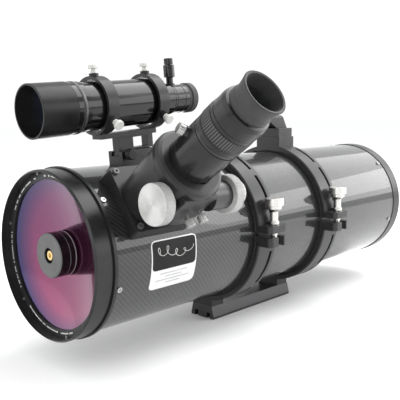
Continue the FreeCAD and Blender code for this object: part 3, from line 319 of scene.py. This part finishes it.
def grip_rubber():
    """Rubber whose rib crests carry a painted highlight and whose grooves carry painted shade, round the
    focuser's axis.
    """
    s = Shader("grip_rubber")
    across = OUT.cross(Vector((1, 0, 0)))
    x, y, z = s.parts(s.shifted(-FOCUSER_FOOT))
    third = s.math("ADD", s.math("MULTIPLY", y, across.y), s.math("MULTIPLY", z, across.z))
    ribs = s.math("SINE", s.math("MULTIPLY", s.math("ARCTAN2", third, x), 60.0))
    # Painted highlight on the crests and painted shade in the grooves, following the ribs of the grip's
    # shape.
    crest = s.ramp(ribs, -0.3, 0.3, 0, 1)
    dust = s.ramp(s.noise(45.0, 6.0, 0.65), 0.3, 0.7, 0.45, 0.6)
    s.set(base_color=s.blend(crest, (0.002, 0.002, 0.002), (0.05, 0.05, 0.05)), roughness=dust)
    return s.relief(s.noise(2200.0), 0.00003, 0.0003).material


def knurled_silver():
    """Satin silver whose rim carries a fine crossed knurl about the drive shaft, with painted shade in the
    knurl's grooves and a painted highlight across two opposite sectors.
    """
    s = Shader("knurled_silver")
    shaft = middle("coarse_knobs")
    x, y, z = s.parts(s.place)
    dy = s.math("SUBTRACT", y, shaft.y)
    dz = s.math("SUBTRACT", z, shaft.z)
    angle = s.math("ARCTAN2", dz, dy)
    radius = s.math("SQRT", s.math("ADD", s.math("POWER", dy, 2.0), s.math("POWER", dz, 2.0)))
    on_rim = s.math("GREATER_THAN", radius, COARSE_KNOB_FACE_R)
    one = s.math("SINE", s.math("ADD", s.math("MULTIPLY", angle, 96.0), s.math("MULTIPLY", x, 4200.0)))
    two = s.math("SINE", s.math("SUBTRACT", s.math("MULTIPLY", angle, 96.0), s.math("MULTIPLY", x, 4200.0)))
    knurl = s.math("MULTIPLY", s.math("MULTIPLY", one, two), on_rim)
    spun = s.math("SINE", s.math("MULTIPLY", radius, 9000.0))
    # Painted highlight: two opposite sectors round the shaft are lighter, the two between darker.
    sheen = s.math("MULTIPLY", s.math("SINE", s.math("MULTIPLY", angle, 2.0)), 0.12)
    # The knurl also lightens the colour on its crests and darkens it in its grooves: painted highlight and
    # shade.
    shade = s.math("ADD", s.ramp(s.noise(70.0, 4.0), 0.3, 0.7, 0.35, 0.75), s.math("MULTIPLY", knurl, 0.9))
    shade = s.math("ADD", shade, sheen)
    s.set(base_color=s.blend(shade, (0.2, 0.2, 0.195), (0.6, 0.6, 0.585)), metallic=0.25,
          roughness=s.ramp(spun, -1, 1, 0.34, 0.44))
    return s.relief(knurl, 0.0002, 0.0006).material


def assign(material, *nodes):
    for name in nodes:
        target = NODES[name]
        target.data.materials.clear()
        target.data.materials.append(material)


def paint_nodes():
    coat = painted("powder_coat", (0.01, 0.01, 0.0105), 0.32, specular=0.3)
    cast = painted("ring_coat", (0.014, 0.014, 0.0145), 0.32, grain=1900.0, lift=0.35, specular=0.36)
    assign(carbon(), "carbon_tube")
    assign(coat, "front_cell", "rear_cell", "focuser_base", "focuser_body", "finder_bracket", "finder_shoe")
    assign(cast, "front_ring_lower", "rear_ring_lower", "front_ring_upper", "rear_ring_upper",
           "carry_handle", "rear_backplate", "mirror_plate", "mirror_clips")
    assign(painted("holder_black", (0.012, 0.012, 0.012), 0.45), "secondary_holder")
    assign(holder_cap(), "secondary_cap")
    assign(painted("retainer_black", (0.012, 0.012, 0.012), 0.3), "retaining_ring")
    assign(corrector(), "corrector_lens")
    assign(turned_metal("screw_steel", (0.45, 0.45, 0.44), 0.3), "cell_screws", "bar_screws", "hinge_pins",
           "drive_shaft", "focuser_drag_screw", "focuser_lock_screw", "eyepiece_thumb_screw")
    assign(painted("black_screws", (0.05, 0.05, 0.05), 0.3, coat=0.4), "base_screws")
    assign(turned_metal("brass", (0.74, 0.56, 0.26), 0.25), "secondary_bolt")
    assign(mirror_coating(), "primary_mirror", "secondary_mirror")
    assign(felt(), "felt_liners_lower", "felt_liners_upper")
    assign(turned_metal("clamp_chrome", (0.68, 0.665, 0.64), 0.24, "Z"), "front_clamp_screw",
           "rear_clamp_screw")
    assign(knurled_silver(), "coarse_knobs", "fine_knob")
    assign(painted("nylon", (0.55, 0.55, 0.53), 0.4, lift=0.08), "finder_screw_front_top",
           "finder_screw_front_near", "finder_screw_rear_top", "finder_screw_rear_near",
           "finder_screws_far")
    assign(rubber(), "eyepiece_eyecup", "finder_eyecup")
    assign(painted("satin_black", (0.005, 0.005, 0.005), 0.32, specular=0.24), "finder_dew_shield",
           "shoe_clamp_screw")
    assign(painted("gloss_black", (0.003, 0.003, 0.003), 0.12, lift=0.2, specular=0.4, bump=0.000005),
           "finder_tube", "finder_ocular", "illuminator_body", "illuminator_switch")
    assign(painted("drawtube_black", (0.008, 0.008, 0.0085), 0.18, grain=2500.0, bump=0.000005), "drawtube")
    assign(turned_metal("anodised_black", (0.07, 0.07, 0.072), 0.32, metallic=0.8), "dovetail_bar",
           "collimation_knob_top", "collimation_knob_far", "collimation_knob_near", "reduction_housing")
    assign(painted("eyepiece_black", (0.008, 0.008, 0.0085), 0.2, grain=2600.0, bump=0.000006),
           "eyepiece_body")
    assign(barrel(), "eyepiece_barrel")
    assign(lens_glass("eye_lens", (0.02, 0.05, 0.06)), "eyepiece_lenses", "finder_eye_lens")
    assign(lens_glass("objective_glass", (0.004, 0.006, 0.012)), "finder_objective")


# ---- mesh helpers ----
def add_piece(name, mesh, material, body, smooth=True):
    """Add a piece that rides on a body and takes the given material as its finish."""
    piece = bpy.data.objects.new(name, mesh)
    bpy.context.scene.collection.objects.link(piece)
    mesh.materials.append(material)
    for face in mesh.polygons:
        face.use_smooth = smooth
    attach(piece, body)
    return piece


def mesh_from(name, verts, faces):
    mesh = bpy.data.meshes.new(name)
    mesh.from_pydata([tuple(v) for v in verts], [], faces)
    mesh.update()
    return mesh


def thicken(mesh, thickness):
    """Give a sheet mesh a back and a rim."""
    bm = bmesh.new()
    bm.from_mesh(mesh)
    bmesh.ops.recalc_face_normals(bm, faces=bm.faces)
    bmesh.ops.solidify(bm, geom=bm.faces, thickness=thickness)
    bm.to_mesh(mesh)
    bm.free()
    return mesh


def on_tube(x, degrees, rise):
    """A point over the tube: 0 degrees is -Y, 90 degrees is up."""
    angle = math.radians(degrees)
    radius = TUBE_R + rise
    return Vector((x, -radius * math.cos(angle), AXIS_Z + radius * math.sin(angle)))


def tube_patch(name, x0, x1, low, high, rise, corner, material, steps=48):
    """A thin sticker on the tube with round corners; low and high are arc lengths above -Y."""
    outline = []
    for cx, cy, first in ((x1 - corner, high - corner, 0), (x0 + corner, high - corner, 90),
                          (x0 + corner, low + corner, 180), (x1 - corner, low + corner, 270)):
        for i in range(9):
            a = math.radians(first + i * 90 / 8)
            outline.append((cx + corner * math.cos(a), cy + corner * math.sin(a)))
    rows = [low + (high - low) * i / steps for i in range(steps + 1)]

    def span(level):
        crossing = []
        for (ax, ay), (bx, by) in zip(outline, outline[1:] + outline[:1]):
            if (ay - level) * (by - level) <= 0 and abs(ay - by) > 1e-9:
                crossing.append(ax + (bx - ax) * (level - ay) / (by - ay))
        return (min(crossing), max(crossing)) if crossing else (x0 + corner, x1 - corner)

    verts, faces = [], []
    for level in rows:
        left, right = span(min(max(level, low + 1e-6), high - 1e-6))
        degrees = math.degrees(level / TUBE_R)
        verts += [on_tube(left, degrees, rise), on_tube(right, degrees, rise)]
    for i in range(steps):
        faces.append((2 * i, 2 * i + 1, 2 * i + 3, 2 * i + 2))
    return add_piece(name, thicken(mesh_from(name, verts, faces), 0.00012), material, "tube", False)


def ribbon_on_tube(name, points, width, rise, material):
    """A drawn line on the tube through (x, arc length) points."""
    verts, faces = [], []
    for i, (x, arc) in enumerate(points):
        ahead = points[min(i + 1, len(points) - 1)]
        behind = points[max(i - 1, 0)]
        dx, dy = ahead[0] - behind[0], ahead[1] - behind[1]
        size = math.hypot(dx, dy) or 1.0
        for side in (-0.5, 0.5):
            px = x - dy / size * width * side
            py = arc + dx / size * width * side
            verts.append(on_tube(px, math.degrees(py / TUBE_R), rise))
    for i in range(len(points) - 1):
        faces.append((2 * i, 2 * i + 1, 2 * i + 3, 2 * i + 2))
    return add_piece(name, thicken(mesh_from(name, verts, faces), 0.00008), material, "tube", False)


# ---- label ----
def label():
    """A two-panel plate label with a plain flourish and grey lines in place of any words."""
    white = painted("label_white", (0.6, 0.6, 0.6), 0.3, grain=900.0, lift=0.06, coat=0.5)
    black = painted("label_black", (0.006, 0.006, 0.006), 0.35, grain=900.0, specular=0.15)
    grey = painted("label_grey", (0.3, 0.3, 0.3), 0.4, grain=900.0)
    silver = painted("label_silver", (0.6, 0.6, 0.58), 0.35, grain=900.0)
    x0 = FRONT_X + LABEL_AT
    x1 = x0 + LABEL_LENGTH
    split = LABEL_LOW + LABEL_FOOT
    tube_patch("label_border", x0, x1, LABEL_LOW, LABEL_HIGH, 0.00012, 0.006, white)
    tube_patch("label_panel", x0 + LABEL_EDGE, x1 - LABEL_EDGE, split, LABEL_HIGH - LABEL_EDGE, 0.00026,
               0.0045, black)
    flourish = []
    for i in range(220):
        t = i / 219
        x = x0 + 0.008 + t * (x1 - x0 - 0.016)
        swing = 0.006 * math.sin(t * 26) * (1 - 0.55 * t) + 0.003 * math.sin(t * 7)
        flourish.append((x + 0.0042 * math.cos(t * 26), split + 0.019 + swing))
    ribbon_on_tube("label_flourish", flourish, 0.0005, 0.0004, silver)
    for i, (share, level) in enumerate(((0.6, 0.019), (0.36, 0.015), (0.74, 0.011), (0.3, 0.007))):
        half = (x1 - x0) * share / 2
        centre = (x0 + x1) / 2
        line = [(centre - half, LABEL_LOW + level), (centre + half, LABEL_LOW + level)]
        ribbon_on_tube("label_line_%d" % i, line, 0.0009, 0.00026, grey)


# ---- marks on the retaining ring ----
def ring_marks():
    """Five arcs of short white dashes on the retaining ring's face."""
    white = painted("mark_white", (0.75, 0.75, 0.75), 0.5, grain=900.0, lift=0.05)
    draws = random.Random(4)
    face_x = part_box("retaining_ring")[0].x - 0.00008
    verts, faces = [], []

    def dash(first, last, inner, outer):
        count = 3
        start = len(verts)
        for i in range(count + 1):
            a = math.radians(first + (last - first) * i / count)
            for r in (inner, outer):
                verts.append((face_x, -r * math.cos(a), AXIS_Z + r * math.sin(a)))
        for i in range(count):
            k = start + 2 * i
            faces.append((k, k + 1, k + 3, k + 2))

    for start, stop in ((-38, 36), (50, 96), (108, 150), (170, 214), (232, 292)):
        at = start
        while at < stop:
            size = draws.uniform(0.5, 1.2)
            if draws.random() > 0.16:
                dash(at, at + size, 0.0893, 0.0911)
            at += size + 0.55
    mesh = thicken(mesh_from("retainer_marks", verts, faces), 0.00006)
    add_piece("retainer_marks", mesh, white, "tube", False)


# ---- eyepiece and finder trim ----
def lathe(name, profile, origin, axis, side, material, body, segments=128, wave=None):
    """Revolve (distance, radius) points about an axis; wave(turn) may add to the radius."""
    along = Vector(axis).normalized()
    across = Vector(side).normalized()
    third = along.cross(across)
    verts, faces = [], []
    for k in range(segments):
        turn = 2 * math.pi * k / segments
        ray = across * math.cos(turn) + third * math.sin(turn)
        extra = wave(turn) if wave else 0.0
        for i, (distance, radius) in enumerate(profile):
            inner = i in (0, len(profile) - 1)
            verts.append(origin + along * distance + ray * (radius + (0 if inner else extra)))
    count = len(profile)
    for k in range(segments):
        other = (k + 1) % segments
        for i in range(count - 1):
            faces.append((k * count + i, k * count + i + 1, other * count + i + 1, other * count + i))
    mesh = mesh_from(name, verts, faces)
    bm = bmesh.new()
    bm.from_mesh(mesh)
    bmesh.ops.recalc_face_normals(bm, faces=bm.faces)
    bm.to_mesh(mesh)
    bm.free()
    return add_piece(name, mesh, material, body)


def eyepiece_start():
    """Where the eyepiece's body starts along the focuser's axis, from the tube's axis."""
    return min((v.co - FOCUSER_FOOT).dot(OUT) for v in NODES["eyepiece_body"].data.vertices)


def eyepiece_grip():
    """The ribbed rubber band round the lower half of the eyepiece."""
    start = eyepiece_start()
    low, high = start + 0.0085, start + 0.0218
    inner, edge, crest = EYEPIECE_R - 0.0006, EYEPIECE_R - 0.0001, EYEPIECE_R + 0.00015
    profile = [(low, inner), (low, edge), (low + 0.0004, crest), (high - 0.0004, crest), (high, edge),
               (high, inner)]

    def rib(turn):
        return 0.00035 * (1 if math.sin(turn * 60) > -0.2 else -0.9)

    lathe("eyepiece_grip", profile, FOCUSER_FOOT, OUT, (1, 0, 0), grip_rubber(), "eyepiece",
          segments=720, wave=rib)


def eyepiece_bands():
    """Two thin grey bands that part the eyepiece's sections."""
    bright = turned_metal("band_grey", (0.06, 0.06, 0.06), 0.3)
    for i, (level, width) in enumerate(((0.0058, 0.0006), (0.0262, 0.0004))):
        low = eyepiece_start() + level
        inner, outer = EYEPIECE_R - 0.0004, EYEPIECE_R + 0.00004
        profile = [(low, inner), (low, outer), (low + width, outer), (low + width, inner)]
        lathe("eyepiece_band_%d" % i, profile, FOCUSER_FOOT, OUT, (1, 0, 0), bright, "eyepiece")


def finder_frame():
    """The finder's front centre and its axis, pointing to its rear."""
    axis = Vector((math.cos(FINDER_PITCH), 0, math.sin(FINDER_PITCH)))
    corners = [v.co for v in NODES["finder_dew_shield"].data.vertices]
    middle_y = sum(c.y for c in corners) / len(corners)
    start = min(c.dot(axis) for c in corners)
    low = [c for c in corners if c.dot(axis) < start + 0.0001]
    centre = sum(low, Vector()) / len(low)
    return Vector((centre.x, middle_y, centre.z)), axis


def finder_trim():
    """Knurled grip on the lock ring and three lines on the focusing ocular."""
    front, axis = finder_frame()
    gloss = painted("trim_black", (0.012, 0.012, 0.012), 0.3, coat=0.5)
    low, high = 0.0505, 0.0555
    inner, crest = LOCK_RING_R - 0.0005, LOCK_RING_R + 0.0003
    profile = [(low, inner), (low, LOCK_RING_R), (low + 0.0004, crest), (high - 0.0004, crest),
               (high, LOCK_RING_R), (high, inner)]
    lathe("finder_lock_grip", profile, front, axis, (0, 1, 0), gloss, "finder", segments=480,
          wave=lambda turn: 0.0002 * math.sin(turn * 80))
    for i, level in enumerate((0.197, 0.2005, 0.2145)):
        end, inner = level + 0.001, OCULAR_R - 0.0006
        ring = [(level, inner), (level, OCULAR_R), (end, OCULAR_R), (end, inner)]
        lathe("finder_ocular_line_%d" % i, ring, front, axis, (0, 1, 0), gloss, "finder")


# ---- stage, light and camera ----
def stage():
    bpy.ops.mesh.primitive_plane_add(size=30, location=(0, 0, CAD_BOX[0].z - 0.0005))
    floor = bpy.context.object
    floor.name = "floor"
    s = Shader("floor")
    s.set(base_color=s.blend(s.noise(2.0), (0.94, 0.94, 0.94), (0.96, 0.96, 0.96)), roughness=1.0,
          specular_ior_level=0.0)
    floor.data.materials.append(s.material)


def softbox(name, place, target, width, height, radiance):
    light = bpy.data.lights.new(name, "AREA")
    light.shape = "RECTANGLE"
    light.size = width
    light.size_y = height
    light.energy = radiance * math.pi * width * height
    lamp = bpy.data.objects.new(name, light)
    bpy.context.scene.collection.objects.link(lamp)
    lamp.location = place
    lamp.rotation_euler = (Vector(target) - Vector(place)).to_track_quat("-Z", "Y").to_euler()
    lamp.visible_camera = False


def lights():
    world = bpy.data.worlds.new("studio")
    bpy.context.scene.world = world
    world.use_nodes = True
    background = world.node_tree.nodes["Background"]
    background.inputs["Color"].default_value = (0.96, 0.965, 0.97, 1)
    background.inputs["Strength"].default_value = 1.08
    centre = (0, 0, AXIS_Z)
    softbox("upper_right", (1.9, -0.7, 1.15), centre, 2.4, 1.5, 1.9)
    softbox("overhead", (0.7, -0.25, 1.7), centre, 1.6, 1.2, 4.5)
    softbox("front_left", (-1.9, -0.9, 0.9), centre, 0.6, 1.6, 2.6)
    softbox("left_card", (-2.6, 1.9, 1.2), centre, 3.8, 2.8, 0.95)
    softbox("side_panel", (2.2, -2.0, 0.95), centre, 3.2, 1.3, 2.7)


def camera():
    """The photograph's viewing angle, from in front of the tube on the focuser's side."""
    data = bpy.data.cameras.new("camera")
    data.sensor_width = 36
    data.lens = CAMERA_LENS
    data.clip_start = 0.01
    data.clip_end = 60
    eye = bpy.data.objects.new("camera", data)
    bpy.context.scene.collection.objects.link(eye)
    place = Vector((FRONT_X, 0, AXIS_Z)) + CAMERA_OFFSET
    tipped = Matrix.Rotation(math.pi / 2 - CAMERA_DIP, 4, "X")
    turned = Matrix.Rotation(CAMERA_TURN - math.pi / 2, 4, "Z")
    rolled = Matrix.Rotation(-CAMERA_ROLL, 4, "Z")
    eye.matrix_world = Matrix.Translation(place) @ turned @ tipped @ rolled
    bpy.context.scene.camera = eye


paint_nodes()
label()
ring_marks()
eyepiece_grip()
eyepiece_bands()
finder_trim()
stage()
lights()
camera()
bpy.context.scene.view_settings.view_transform = "Standard"
